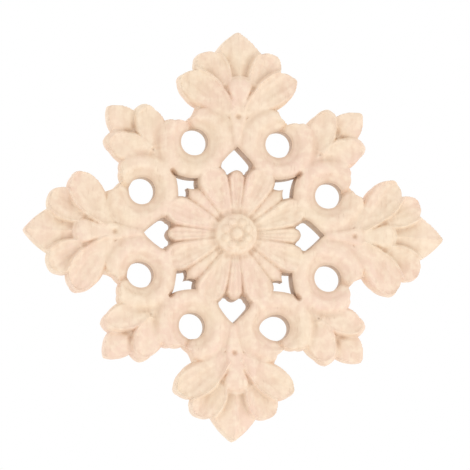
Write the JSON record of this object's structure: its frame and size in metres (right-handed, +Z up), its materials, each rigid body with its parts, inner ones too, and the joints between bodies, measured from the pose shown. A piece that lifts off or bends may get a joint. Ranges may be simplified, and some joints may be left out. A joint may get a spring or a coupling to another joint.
{
  "type": "wood applique",
  "caption": "Carved openwork wood applique: star-shaped rosette with a daisy centre, pierced scrolls and acanthus leaves, flat at the back for gluing.",
  "frame": {"origin": "centre of the flat back, on the axis of the flower", "axes": "+Y out of the flat back into the door or wall it is glued to, +Z up through one leaf's tip, +X through the next leaf's tip; the carved face looks towards -Y"},
  "size_m": [0.1521, 0.01, 0.1473],
  "materials": {
    "wood": "raw, sanded, unfinished pale wood"
  },
  "bodies": {
    "root": {"applique": "wood"}
  },
  "joints": []
}
